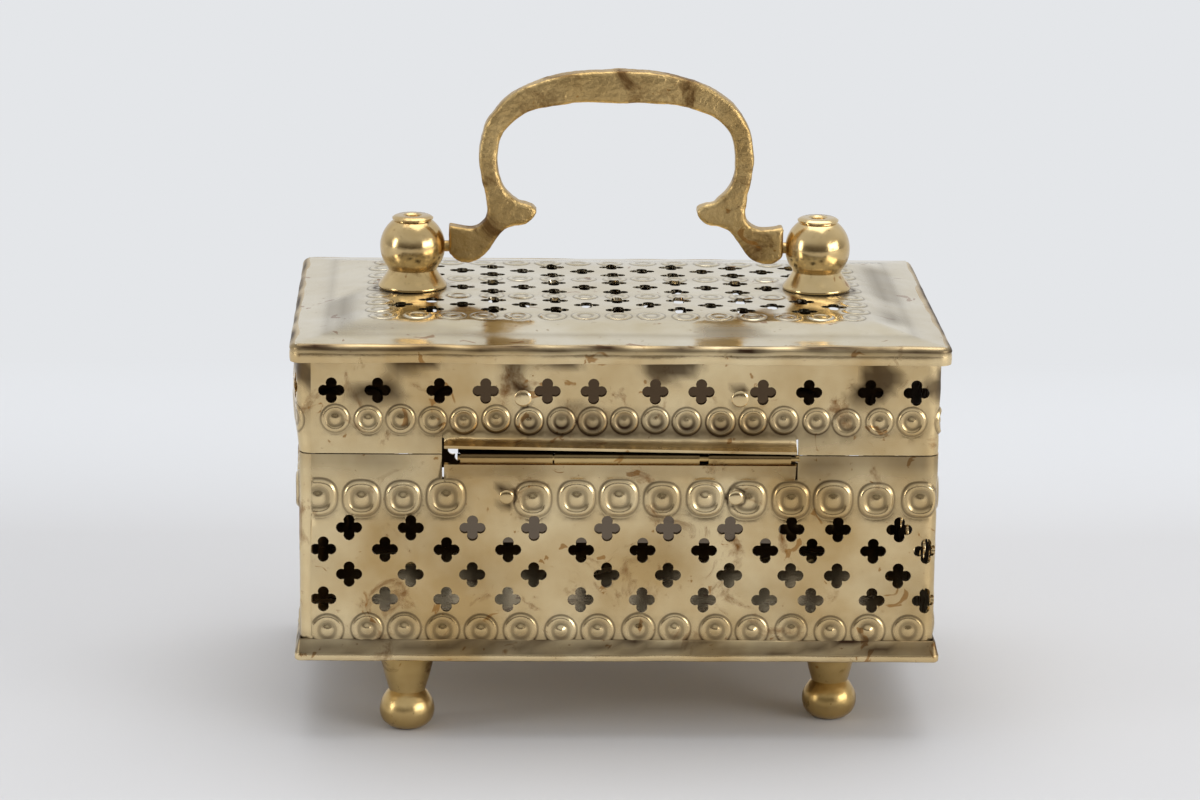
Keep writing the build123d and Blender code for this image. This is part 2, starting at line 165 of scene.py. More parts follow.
def swept_edge(name, half_x, half_y, radius, profile, waver):
    """A band round the box: a profile of (inset, level, darkness of tarnish and painted shade) carried round
    rounded corners.
    """
    corner_steps = 6
    run_step = 2
    corners = []
    for corner_x, corner_y, start in ((1, -1, -90), (1, 1, 0), (-1, 1, 90), (-1, -1, 180)):
        for i in range(corner_steps + 1):
            angle = math.radians(start + 90 / corner_steps * i)
            x, y = corner_x * (half_x - radius), corner_y * (half_y - radius)
            corners.append((x, y, math.cos(angle), math.sin(angle)))
    rounds = []
    for (x, y, out_x, out_y), (next_x, next_y, *_) in zip(corners, corners[1:] + corners[:1]):
        rounds.append((x, y, out_x, out_y))
        steps = int(math.hypot(next_x - x, next_y - y) / run_step)
        for step in range(1, steps):
            rounds.append((x + (next_x - x) * step / steps, y + (next_y - y) * step / steps, out_x, out_y))
    points, dark = [], []
    for x, y, out_x, out_y in rounds:
        for inset, level, shade in profile:
            out = radius - inset
            point = Vector((x + out_x * out, y + out_y * out, level))
            wave = waver * noise.noise(Vector((point.x * 0.11, point.y * 0.11, level * 0.3)))
            points.append(point + Vector((-abs(wave) * out_x, -abs(wave) * out_y, wave)))
            dark.append(shade * (0.8 + 0.8 * noise.noise(Vector((point.x * 0.16, point.y * 0.16, level)))))
    count = len(profile)
    faces = []
    for i in range(len(rounds)):
        for j in range(count):
            a, b = i * count + j, i * count + (j + 1) % count
            c, d = (i + 1) % len(rounds) * count + (j + 1) % count, (i + 1) % len(rounds) * count + j
            faces.append((a, d, c, b))
    edge = mesh_object(name, points, faces)
    edge.data.set_sharp_from_angle(angle=math.radians(50))
    shades = edge.data.attributes.new("tarnish_and_shade", "FLOAT", "POINT")
    shades.data.foreach_set("value", [clamp(shade) for shade in dark])
    return edge


edge_brass = aged_brass("tarnished_sheet_brass_with_painted_shade", "#EAD5A9", "#CBAD79", "#80592F", 0.6, 0.25, 2.5, 0.15)
skirt_low, skirt_high = (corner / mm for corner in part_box("base_skirt"))
skirt_profile = [
    (1.0, skirt_low.z, 0.2), (0.3, skirt_low.z, 0.1), (0.02, skirt_low.z + 0.25, 0),
    (0.0, skirt_low.z + 0.8, 0), (0.0, skirt_low.z + 1.15, 0.05), (0.1, skirt_low.z + 1.4, 0.75),
    (0.42, skirt_low.z + 2.4, 0.8), (0.65, skirt_high.z - 0.25, 0.85), (0.85, skirt_high.z, 0.9),
    (1.0, skirt_high.z, 0.8),
]
skirt = swept_edge("skirt", skirt_high.x, skirt_high.y, 1.2, skirt_profile, 0.14)
finish_piece(skirt, edge_brass, "base", "brass_sheet", "base_skirt")
keep_shape("base_floor", edge_brass)


# Feet: cast and then turned brass, each an onion-shaped ball under a plain cone, with a tenon peened over
# inside the floor plate. They are turned by hand, so no foot is quite round.
def smooth_line(points, steps=6):
    """A smooth line through points."""
    line = []
    for i in range(len(points) - 1):
        a, b, c, d = (Vector(points[min(max(k, 0), len(points) - 1)]) for k in (i - 1, i, i + 1, i + 2))
        for step in range(steps):
            t = step / steps
            bend = (2 * a - 5 * b + 4 * c - d) * t * t + (3 * b - a - 3 * c + d) * t ** 3
            line.append(0.5 * (2 * b + (c - a) * t + bend))
    return line + [Vector(points[-1])]


def turned(name, profile, middle, wobble=0.0, along=Vector((0, 0, 1)), around=56):
    """A turned piece from a profile of (radius, distance along its axis), with the waver of a hand lathe."""
    rotation = Vector((0, 0, 1)).rotation_difference(along)
    points, faces = [], []
    for radius, height in profile:
        for i in range(around):
            angle = 2 * math.pi * i / around
            waver = noise.noise(Vector((math.cos(angle), math.sin(angle), height * 0.35 + middle.x)))
            out = radius * (1 - wobble * (0.5 + 0.5 * waver))
            points.append(middle + rotation @ Vector((out * math.cos(angle), out * math.sin(angle), height)))
    for j in range(len(profile) - 1):
        for i in range(around):
            a, b = j * around + i, j * around + (i + 1) % around
            faces.append((a, b, b + around, a + around))
    faces.append(tuple(range(around))[::-1])
    faces.append(tuple(range((len(profile) - 1) * around, len(profile) * around)))
    piece = mesh_object(name, points, faces)
    piece.data.set_sharp_from_angle(angle=math.radians(38))
    return piece


turned_brass = aged_brass("turned_brass", "#DCC494", "#BD9F69", "#7A5A30", 0.6, 0.2, 1.4, 0.1)
foot_brass = aged_brass("satin_turned_brass", "#CBAE76", "#A68850", "#67491F", 0.56, 0.3, 1.4, 0.2)
ball_line = [(2.1, 0), (3.3, 0.45), (4.5, 1.6), (4.95, 3.2), (4.7, 4.8), (4.0, 6.1), (3.3, 7.0)]
cone_line = [(3.3, 7.0), (3.38, 7.3), (3.85, 9.0), (4.35, 10.9), (4.8, 12.7), (5.2, 14.45)]
tenon_line = [(5.25, 14.5), (1.5, 14.5), (1.5, 15.32), (2.35, 15.35), (2.1, 15.75), (0.8, 15.9)]
foot_line = smooth_line(ball_line)[:-1] + smooth_line(cone_line) + [Vector(point) for point in tenon_line]
for node in [name for name in frame["nodes"] if name.startswith("foot")]:
    low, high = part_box(node)
    foot = turned(node + "_turned", foot_line, Vector((low.x + high.x, low.y + high.y, 0)) / 2 / mm, 0.03)
    finish_piece(foot, foot_brass, "base", "brass_turned", node)


# Base wall: one strip of sheet brass, pierced with quatrefoils and stamped with rings while it was flat, then
# folded round the corners. Slits in its rear edge free a flap that leans out clear of the hinge.
hole_width = 4.6
lobe_offset = 0.285 * hole_width
lobe_radius = 0.215 * hole_width
hole_points = 32
near_cell = 4.0
hole_nearness = 4
ring_nearness = 5
point_gap = 0.2
ring_circles = 10


def bell(value, middle, width):
    """One at the middle, and soon nothing on both sides of it."""
    return math.exp(-((value - middle) / width) ** 2)


def hole_edge(angle):
    """Distance from a hole's middle to its edge, round four lobes."""
    turned_by = (angle + math.pi / 4) % (math.pi / 2) - math.pi / 4
    across = lobe_offset * math.sin(turned_by)
    return lobe_offset * math.cos(turned_by) + math.sqrt(max(lobe_radius ** 2 - across ** 2, 0))


def ring_share(x, z, ring):
    """Distance from a ring's middle as a share of its radius, round or squarish by its power."""
    ring_x, ring_z, radius, _, power, _ = ring
    return (abs(x - ring_x) ** power + abs(z - ring_z) ** power) ** (1 / power) / radius


def ring_height(share, depth, boss):
    """Height of a stamped ring: a raised band, a groove inside it, a boss, and a moat round the whole."""
    return depth * (bell(share, 0.82, 0.16) + boss * bell(share, 0, 0.33) - 0.4 * bell(share, 1.08, 0.09))


def ring_shade_and_tarnish(share):
    """Darkness round the outside of a ring and in the groove inside its band: painted shade in these
    hollows, and dark where polish never reaches.
    """
    return 0.6 * bell(share, 1.06, 0.08) + 0.5 * bell(share, 0.52, 0.14)


def by_cell(marks, reach):
    """Marks listed under each cell of the sheet that they come near."""
    cells = {}
    for mark in marks:
        columns, rows = (
            range(int((mark[k] - reach) // near_cell), int((mark[k] + reach) // near_cell) + 1)
            for k in (0, 1)
        )
        for column in columns:
            for row in rows:
                cells.setdefault((column, row), []).append(mark)
    return cells


def pierced_sheet(name, outline, holes, rings, place, thickness, shade, cuts=(), step=1.5):
    """A stamped and pierced sheet, laid out flat and put in place by a function of its flat position."""
    left, right, low, high = outline
    flat, edges = [], []
    near_holes = by_cell(holes, hole_nearness)
    near_rings = by_cell(rings, ring_nearness)

    def cell(x, z):
        return int(x // near_cell), int(z // near_cell)

    def add_loop(points):
        first = len(flat)
        flat.extend(Vector(point) for point in points)
        edges.extend((first + i, first + (i + 1) % len(points)) for i in range(len(points)))

    def in_hole(x, z, margin=0.0):
        for hole_x, hole_z in near_holes.get(cell(x, z), ()):
            edge = hole_edge(math.atan2(z - hole_z, x - hole_x))
            if math.hypot(x - hole_x, z - hole_z) < edge + margin:
                return True
        return any(
            a[0] - margin < x < b[0] + margin and a[1] - margin < z < b[1] + margin for a, b in cuts
        )

    def add_point(x, z):
        inside = left + point_gap < x < right - point_gap and low + point_gap < z < high - point_gap
        if inside and not in_hole(x, z, point_gap):
            flat.append(Vector((x, z)))

    columns = max(2, round((right - left) / step))
    rows = max(2, round((high - low) / step))
    border = [(left + (right - left) * i / columns, low) for i in range(columns)]
    border += [(right, low + (high - low) * i / rows) for i in range(rows)]
    border += [(right - (right - left) * i / columns, high) for i in range(columns)]
    border += [(left, high - (high - low) * i / rows) for i in range(rows)]
    add_loop(border)
    for x, z in holes:
        turns = [2 * math.pi * i / hole_points for i in range(hole_points)]
        add_loop([(x + hole_edge(t) * math.cos(t), z + hole_edge(t) * math.sin(t)) for t in turns])
    for start, end in cuts:
        add_loop([start, (start[0], end[1]), end, (end[0], start[1])])
    for ring_x, ring_z, radius, _, power, _ in rings:
        add_point(ring_x, ring_z)
        for circle in range(1, ring_circles + 1):
            count = 8 + 3 * circle
            for i in range(count):
                angle = 2 * math.pi * (i + circle / 2) / count
                across, up = math.cos(angle), math.sin(angle)
                squareness = (abs(across) ** power + abs(up) ** power) ** (1 / power)
                reach = radius * circle / 8.5 / squareness
                add_point(ring_x + reach * across, ring_z + reach * up)
    for column in range(1, columns):
        for row in range(1, rows):
            x = left + (right - left) * column / columns
            z = low + (high - low) * row / rows
            if all(ring_share(x, z, ring) > 1.2 for ring in near_rings.get(cell(x, z), ())):
                add_point(x, z)

    points, _, faces, *_ = delaunay_2d_cdt(flat, edges, [], 0, 1e-5)
    middles = [sum((points[i] for i in face), Vector((0, 0))) / 3 for face in faces]
    faces = [face for face, middle in zip(faces, middles) if not in_hole(*middle)]
    front, dark = [], []
    for x, z in points:
        # Shallow waves and small dents of sheet that was hammered by hand.
        height = 0.16 * noise.noise(Vector((x * 0.06, z * 0.09, 3.1)))
        height += 0.05 * noise.noise(Vector((x * 0.3, z * 0.3, 7.7)))
        darkness = shade(x, z)
        for ring in near_rings.get(cell(x, z), ()):
            share = ring_share(x, z, ring)
            if share < 1.4:
                height += ring_height(share, ring[3], ring[5])
                darkness += ring_shade_and_tarnish(share)
        front.append(place(x, z, height))
        dark.append(clamp(darkness))
    sheet = mesh_object(name + "_flat", front, faces)
    normals = [vertex.normal.copy() for vertex in sheet.data.vertices]
    bpy.data.objects.remove(sheet)
    back = [Vector(point) - normal * thickness for point, normal in zip(front, normals)]
    count = len(front)
    sides = {(face[i], face[(i + 1) % 3]) for face in faces for i in range(3)}
    points_all = front + back
    faces_all = [tuple(face) for face in faces]
    faces_all += [tuple(count + i for i in reversed(face)) for face in faces]
    dark_all = dark + [0.95] * count
    rim_place = {}
    for a, b in sorted(side for side in sides if (side[1], side[0]) not in sides):
        for i in (a, b):
            if i not in rim_place:
                rim_place[i] = len(points_all)
                points_all += [front[i], back[i]]
                dark_all += [0.0, 0.2]
        faces_all.append((rim_place[b], rim_place[a], rim_place[a] + 1, rim_place[b] + 1))
    piece = mesh_object(name, points_all, faces_all)
    piece.data.attributes.new("tarnish_and_shade", "FLOAT", "POINT").data.foreach_set("value", dark_all)
    return piece


rear_low, rear_high = (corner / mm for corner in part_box("base_wall_rear"))
half_length = rear_high.x
half_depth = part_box("base_wall_front")[1].y / mm
fold = 2.0
straight_length = half_length - fold
straight_depth = half_depth - fold
turn_length = math.pi / 2 * fold
right_middle = 2 * straight_length + turn_length + straight_depth
front_middle = right_middle + straight_depth + turn_length + straight_length
left_middle = front_middle + straight_length + turn_length + straight_depth
strip_end = left_middle + straight_depth + turn_length
wall_sheet = 0.55
legs = (
    (straight_length, (-1, -1), (1, 0), (0, -1)),
    (straight_depth, (1, -1), (0, 1), (1, 0)),
    (straight_length, (1, 1), (-1, 0), (0, 1)),
    (straight_depth, (-1, 1), (0, -1), (-1, 0)),
)


def round_the_box(along):
    """Place and outward direction at a distance along the strip, from the left end of the rear wall."""
    for half, (corner_x, corner_y), run, out in legs:
        x = corner_x * straight_length
        y = corner_y * straight_depth
        if along <= 2 * half:
            x = x + run[0] * along + out[0] * fold
            y = y + run[1] * along + out[1] * fold
            return x, y, out[0], out[1]
        along -= 2 * half
        if along <= turn_length or out[0] == -1:
            angle = along / fold
            out_x = out[0] * math.cos(angle) + run[0] * math.sin(angle)
            out_y = out[1] * math.cos(angle) + run[1] * math.sin(angle)
            x = x + run[0] * 2 * half + fold * out_x
            y = y + run[1] * 2 * half + fold * out_y
            return x, y, out_x, out_y
        along -= turn_length


def spread(middle, half, pitch, between=False):
    """Evenly pitched places about the middle of a wall."""
    first = 0.5 if between else 0.0
    count = int(half / pitch) + 1
    places = [middle + (step + first) * pitch for step in range(-count - 1, count + 1)]
    return [place for place in places if abs(place - middle) < half]


hand = random.Random(11)


def stamped(places, level, radius, depth, power=2.0, boss=0.85):
    """A row of rings, each struck by hand and so a little off its place, its size and its depth."""
    return [
        (
            place + hand.uniform(-0.25, 0.25),
            level + hand.uniform(-0.2, 0.2),
            radius * hand.uniform(0.95, 1.04),
            depth * hand.uniform(0.7, 1.15),
            power,
            boss * hand.uniform(0.7, 1.2),
        )
        for place in places
    ]


def flared(along, level, crease, edge, tip_y, tip_z, skew=0.0):
    """Place on the flap that is bent outward past the hinge, and a little askew along its edge."""
    share = (level - crease) / (edge - crease)
    x = along - straight_length
    y = -half_depth + (tip_y + half_depth) * share
    lift = skew * (0.5 - x / flap_half / 2)
    return Vector((x, y, crease + (tip_z + lift - crease) * share))


def flap_slits(low, high):
    """The two slits beside a flap, from one level to another."""
    middles = [straight_length + side * (flap_half + slit_width / 2) for side in (-1, 1)]
    return [((middle - slit_width / 2, low), (middle + slit_width / 2, high)) for middle in middles]


seam = rear_high.z
base_low = rear_low.z
flap_half = 30.6
slit_width = 0.4
base_crease = seam - 4.4
base_tip = (rear_low.y, seam - 1.35)
base_pitch = 10.75
base_shift = -4.5
base_rows = (13.2, 17.1, 21.6, 26.1)
rear_passes = ((-47.1, 4), (-2.1, 4), (38.3, 2))
last_hole = straight_length + 53.9
base_holes = []
for row, drop in enumerate(base_rows):
    level = seam - drop
    shift = base_shift * (row % 2)
    for start, count in rear_passes:
        base_holes += [(straight_length + start + shift + step * base_pitch, level) for step in range(count)]
    if row % 2:
        base_holes.append((last_hole, level))
    base_holes += [(place, level) for place in spread(right_middle, 33, base_pitch, row % 2 == 0)]
    base_holes += [(place + shift, level) for place in spread(front_middle, 52, base_pitch)]
    base_holes += [(place, level) for place in spread(left_middle, 34, base_pitch, row % 2 == 0)]
upper_level = seam - 7.8
lower_level = seam - 31.6
base_rings = []
for middle, reach in ((straight_length, 54), (right_middle, 34), (front_middle, 53), (left_middle, 34)):
    base_rings += stamped(spread(middle, reach, 7.5), upper_level, 3.1, 0.5, 2.5)
    base_rings += stamped(spread(middle, reach, 6.8, True), lower_level, 2.75, 0.28, 2.0, 2.0)

# No ring was struck where the left rivet of the base went.
bare_place = straight_length - 21
bare_half = 3
base_rings = [ring for ring in base_rings if abs(ring[0] - bare_place) > bare_half or ring[1] < seam - 20]
rivet_head = 1.7
rivet_spots = []
for rivet in ("rivet_base_left", "rivet_base_right", "rivet_lid_left", "rivet_lid_right"):
    low, high = (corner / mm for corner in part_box(rivet))
    rivet_spots.append(((low.x + high.x) / 2 + straight_length, (low.z + high.z) / 2))


def rivet_distance(along, level):
    """Distance from the nearest rivet of the rear wall."""
    return min(math.hypot(along - spot[0], level - spot[1]) for spot in rivet_spots)


def rivet_flat(along, level):
    """How much of the relief is left near a rivet, where its hammering flattened the wall."""
    return clamp(max(rivet_distance(along, level) - 1.0, 0) / 1.6)


def rivet_line(distance):
    """A dark line of old polish round a rivet's head."""
    return 0.85 * bell(distance, rivet_head, 0.22)


def place_base(along, level, relief):
    """Place of a point of the base wall, whose ends bow outward a little above the skirt."""
    if abs(along - straight_length) < flap_half + 0.01 and level > base_crease:
        return flared(along, level, base_crease, seam, *base_tip)
    x, y, out_x, out_y = round_the_box(along)
    rise = clamp((level - base_low - 4) / 12)
    bow = 0.7 * rise * max(0, 1 - (y / half_depth) ** 2) * abs(out_x)
    fade = clamp((level - base_low) / 5)
    fade *= rivet_flat(along, level)
    push = relief * fade + bow
    return Vector((x + out_x * push, y + out_y * push, level))


def shade_base(along, level):
    """Brown along the seam and the foot of the wall, and a little everywhere in faint clouds."""
    cloud = noise.noise(Vector((along * 0.07, level * 0.12, 1.7)))
    seam_band = 0.5 * bell(seam - 1.0 - level, 0, 3.2) * (0.9 + 1.2 * cloud)
    seam_band *= 1 - 0.75 * math.exp(-((along - straight_length) / 29) ** 8)
    foot_band = 0.35 * bell(level - base_low, 2.6, 1.2)
    rivets = rivet_line(rivet_distance(along, level))
    return seam_band + foot_band + rivets + 0.05 + 0.2 * max(0, cloud)


wall_brass = aged_brass("hammered_sheet_brass", "#E6D0A3", "#C4A672", "#865C31", 0.58, 0.19, 4.0, 0.1)
base_wall = pierced_sheet(
    "base_wall", (0, strip_end, base_low, seam), base_holes, base_rings,
    place_base, wall_sheet, shade_base, flap_slits(base_crease, seam),
)
finish_piece(
    base_wall, wall_brass, "base", "brass_sheet",
    "base_wall_rear", "base_wall_front", "base_wall_left", "base_wall_right",
)

# Hinge: two leaves of dull sheet riveted inside the walls, with knuckles of drawn tube on a wire pin.
# The leaves show grey-brown behind the holes. The tubes are bright below, and their tops are painted with
# the shade that the lid's flap casts on them.
hinge_brass = aged_brass("drawn_tube_brass", "#CBB07A", "#A88957", "#6B5030", 0.6, 0.2, 3.0, 0.08)
hinge_tree = hinge_brass.node_tree
hinge_base_colour = hinge_tree.nodes["Principled BSDF"].inputs["Base Color"]
hinge_tone = hinge_base_colour.links[0].from_socket
hinge_place = add_node(hinge_tree, "TexCoord", {})["Object"]
hinge_way = add_node(hinge_tree, "SeparateXYZ", {"Vector": hinge_place})
leaf_start = -half_depth * mm
pin_level = frame["record"]["behaviour"]["joints"][0]["pos_m"][2]
for axis, start, end, most, shade in (
    ("Y", leaf_start - 0.4 * mm, leaf_start, 1.0, "#6F6355"),
    # Painted shade: the top of each knuckle darkens where the lid's flap shades it.
    ("Z", pin_level - 0.1 * mm, pin_level + 0.45 * mm, 0.75, "#4A3824"),
):
    span = {"Value": hinge_way[axis], "From Min": start, "From Max": end, "To Max": most}
    share = add_node(hinge_tree, "MapRange", span)["Result"]
    hinge_tone = add_node(hinge_tree, "Mix", {0: share, 6: hinge_tone, 7: colour(shade)}, data_type="RGBA")[2]
hinge_tree.links.new(hinge_tone, hinge_base_colour)
for node in ("hinge_leaf_base", "hinge_leaf_lid", "hinge_pin"):
    keep_shape(node, hinge_brass)

# Lid wall: the same kind of strip as the base wall, with one row of holes in pairs and one of rings.
# Its left end has sprung outward into a shallow belly, and its rear flap leans out over the hinge.
lid_low, lid_high = (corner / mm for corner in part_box("lid_wall_rear"))
lid_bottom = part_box("lid_wall_front")[0].z / mm
lid_crease = seam + 3.0
lid_tip = (lid_low.y, seam + 1.5)
lid_skew = 0.9
hole_level = lid_bottom + 11.2
lid_ring_level = lid_bottom + 6.0
pair_pitch = 18.7
pair_half = 4.0
belly = 1.6
lid_holes, lid_rings = [], []
for middle, hole_reach, ring_reach in (
    (straight_length + 0.6, 52, 53), (right_middle, 30, 34), (front_middle, 52, 53), (left_middle, 30, 34),
):
    for pair in spread(middle, hole_reach, pair_pitch, True):
        lid_holes += [(pair - pair_half, hole_level), (pair + pair_half, hole_level)]
    lid_rings += stamped(spread(middle, ring_reach, 5.55), lid_ring_level, 2.35, 0.34)


def place_lid(along, level, relief):
    """Place of a point of the lid wall, whose left end bellies out."""
    if abs(along - straight_length) < flap_half + 0.01 and level < lid_crease:
        return flared(along, level, lid_crease, lid_bottom, *lid_tip, lid_skew)
    x, y, out_x, out_y = round_the_box(along)
    height = (level - lid_bottom) / (lid_high.z - lid_bottom)
    middle = max(0, 4 * height * (1 - height))
    bow = 0.5 * middle * max(0, 1 - (y / half_depth) ** 2) * abs(out_x)
    if out_x < 0:
        bow = belly * middle ** 0.6 * max(0, 1 - (y / half_depth) ** 6) * abs(out_x)
        relief *= 0.3
    relief *= rivet_flat(along, level)
    push = relief * min(1, 6 * (1 - height)) + bow
    return Vector((x + out_x * push, y + out_y * push, level))


def shade_lid(along, level):
    """Dark patches under the lid's edge, and a broad brown one over the hinge."""
    cloud = noise.noise(Vector((along * 0.11, level * 0.16, 9.3)))
    high = clamp((level - lid_bottom - 7) / 4)
    patches = 0.75 * high * clamp((cloud - 0.08) * 5)
    past = abs(along - straight_length - 6) / 34
    by_hinge = 0.62 * math.exp(-past ** 4) * bell(level - lid_bottom, 3.6, 2.6)
    rivets = rivet_line(rivet_distance(along, level))
    return patches + by_hinge + rivets + 0.04 + 0.15 * max(0, cloud)


lid_wall = pierced_sheet(
    "lid_wall", (0, strip_end, lid_bottom, lid_high.z), lid_holes, lid_rings,
    place_lid, wall_sheet, shade_lid, flap_slits(lid_bottom, lid_crease),
)
finish_piece(
    lid_wall, wall_brass, "lid", "brass_sheet",
    "lid_wall_rear", "lid_wall_front", "lid_wall_left", "lid_wall_right",
)


# Lid plate: sheet brass hammered up into a flat rim, a bevel and a raised middle, pierced in three bands and
# marked with rings. It is the part most polished, so it mirrors the room, and its rings are only thin lines.
plate_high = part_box("lid_top")[1] / mm
plate_length = plate_high.x
plate_depth = plate_high.y
rim_level = plate_high.z - 2.5
post_x = (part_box("post_right")[0].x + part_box("post_right")[1].x) / 2 / mm
post_clear = 9.0
band_pitch = 14.7
row_pitch = 3.7
plate_holes = []
for band in (-1, 0, 1):
    for row in (-1, 0, 1):
        across = band_pitch * band + row_pitch * row
        for x in spread(0, 40, 11.0, row == 0):
            if math.hypot(abs(x) - post_x, across) > post_clear:
                plate_holes.append((x, across))
outer_rings = 22.6
inner_rings = 7.35
end_rings = 42.2
plate_rings = []
for side in (-1, 1):
    plate_rings += stamped(spread(0, 43, 5.9), side * outer_rings, 2.3, 0.16, 2.0, 0.4)
    inner = [x for x in spread(0, 38, 5.6) if math.hypot(abs(x) - post_x, inner_rings) > post_clear]
    plate_rings += stamped(inner, side * inner_rings, 2.1, 0.16, 2.0, 0.4)
    plate_rings += [(side * end_rings, y, 2.3, 0.16, 2.0, 0.4) for y in spread(0, 20, 5.9)]
rim_slope = (
    (1.0, 0.0), (5.5, 0.55), (6.3, 0.75), (11.6, 1.75), (12.6, 1.95), (15.5, 2.2), (22.0, 2.38),
    (38.0, 2.5),
)
plate_sheet = 0.6
plate_edge = 1.1


def place_plate(x, y, relief):
    """Height of the plate by its distance in from the edge, rounded where the bevel's corners mitre."""
    inset = min(plate_length - abs(x), plate_depth - abs(y))
    rise = rim_slope[-1][1]
    for (near, low), (far, high) in zip(rim_slope, rim_slope[1:]):
        if inset < far:
            rise = low + (high - low) * max(0, inset - near) / (far - near)
            break
    near_post = clamp((math.hypot(abs(x) - post_x, y) - 5.5) / 4)
    return Vector((x, y, rim_level + rise + (relief - 0.12) * near_post * min(1, inset / 6)))


def shade_plate(x, y):
    """A dark line at the bevel's foot, brown smears on the bevel that are also a painted reflection of the
    room's dark side, and rings round the posts where polish gathers.
    """
    inset = min(plate_length - abs(x), plate_depth - abs(y))
    foot = 0.3 * bell(inset, 5.9, 0.7)
    post = 0.5 * bell(math.hypot(abs(x) - post_x, y), 6.6, 0.9)
    smear = noise.noise(Vector((x * 0.06, y * 0.05, 4.4)))
    # Painted reflection as well as brown smear: the bevel is darkened in patches.
    bevel = 0.55 * clamp(smear * 4) * bell(inset, 8.8, 2.6)
    return foot + post + bevel


lid_brass = aged_brass("polished_sheet_brass", "#E8DDC4", "#D6C6A2", "#94703F", 0.68, 0.13, 4.0, 0.05)
plate_outline = (
    -plate_length + plate_edge, plate_length - plate_edge,
    -plate_depth + plate_edge, plate_depth - plate_edge,
)
lid_plate = pierced_sheet(
    "lid_plate", plate_outline, plate_holes, plate_rings, place_plate, plate_sheet, shade_plate, step=1.3,
)
finish_piece(lid_plate, lid_brass, "lid", "brass_sheet", "lid_top")

# Edge of the lid plate: the sheet rolled over a rounded shoulder and turned down by hand, so it wavers.
# The shoulder is painted dark, a painted reflection of the room's dark side, and the upright face below is
# rubbed bright.
hem_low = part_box("lid_hem")[0].z / mm
# On the shoulder the third column is a painted reflection of the room's dark side.
hem_profile = [
    (1.7, rim_level - 0.02, 0), (1.1, rim_level, 0.25), (0.6, rim_level - 0.12, 0.9),
    (0.25, rim_level - 0.42, 0.95), (0.06, rim_level - 0.85, 0.8), (0.16, rim_level - 1.15, 0.4),
    (0.05, hem_low + 1.6, 0), (0.02, hem_low + 0.8, 0), (0.1, hem_low + 0.1, 0.1),
    (0.45, hem_low, 0.6), (0.8, hem_low + 0.1, 0.8), (0.85, rim_level - 0.7, 0.8),
    (1.7, rim_level - 0.62, 0.8),
]
lid_edge = swept_edge("lid_edge", plate_length, plate_depth, 2.5, hem_profile, 0.18)
finish_piece(lid_edge, edge_brass, "lid", "brass_sheet", "lid_hem")

# Posts: turned brass balls on flared feet, with a collar and a drilled dimple on top, and a cross bore for
# the handle's pin. A tenon passes through the lid plate and is peened over beneath.
flare_line = [(6.15, 0.0), (6.2, 0.25), (6.05, 0.6), (5.65, 1.2), (5.15, 1.9), (4.7, 2.6), (4.4, 3.2)]
collar_line = [
    (3.45, 12.2), (3.7, 12.35), (3.72, 12.6), (3.4, 12.85), (3.0, 13.0), (1.75, 13.0), (1.45, 12.7),
    (1.3, 11.4), (0.3, 11.0),
]
ball_radius = 5.9
ball_level = 7.35
ball_steps = 24
for node in ("post_left", "post_right"):
    low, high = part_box(node)
    ball = []
    for i in range(ball_steps + 1):
        angle = math.radians(-42 + 96 * i / ball_steps)
        ball.append(Vector((ball_radius * math.cos(angle), ball_level + ball_radius * math.sin(angle))))
    profile = [Vector((1.5, -1.2)), Vector((1.5, 0))] + smooth_line(flare_line, 4) + ball[1:]
    profile += [Vector(point) for point in collar_line]
    post_foot = Vector(((low.x + high.x) / 2 / mm, 0, plate_high.z))
    post = turned(node + "_turned", profile, post_foot, 0.012)
    finish_piece(post, turned_brass, "lid", "brass_turned", node)

# Handle: one bail cast in brass, filed flat on its faces and left rough, with a spur inside each arm and
# a pin at each end that turns in the posts. Its casting skin is dull ochre, with no polish on it.
cast_brass = aged_brass("cast_brass", "#D0B37C", "#A98B57", "#6E5230", 0.52, 0.36, 1.1, 0.7)
pivot_level = frame["record"]["behaviour"]["joints"][1]["pos_m"][2] / mm
handle_half = 30.2
handle_thick = 4.0
edge_round = 0.75
left_bow = [
    (0, 32.4), (-5.5, 32.1), (-10.9, 31.3), (-16.5, 29.3), (-20.4, 26.7), (-23.0, 23.5), (-24.3, 20.2),
    (-24.7, 16.5), (-24.4, 12.8), (-23.6, 9.6), (-23.1, 6.6),
]
left_shoulder = [(-23.1, 6.6), (-23.6, 4.9), (-25.4, 3.7), (-27.8, 3.7), (-30.1, 4.2)]
left_lobe = [
    (-30.1, -1.1), (-28.6, -2.5), (-26.8, -2.9), (-24.8, -2.3), (-23.0, -0.8), (-21.4, 1.6),
    (-20.0, 3.2), (-18.1, 4.0),
]
left_spur = [(-18.1, 4.0), (-16.2, 4.2), (-14.6, 5.6), (-14.2, 6.9), (-15.3, 7.9), (-17.4, 8.4)]
left_inner = [
    (-17.4, 8.4), (-19.7, 10.4), (-21.0, 13.2), (-21.2, 16.4), (-20.8, 19.6), (-19.3, 22.1),
    (-16.5, 24.3), (-11.8, 25.7), (-6.2, 26.3), (0, 26.3),
]
half_line = smooth_line(left_bow, 5)[:-1] + smooth_line(left_shoulder, 5)
half_line += smooth_line(left_lobe, 5)[:-1] + smooth_line(left_spur, 5)[:-1] + smooth_line(left_inner, 5)

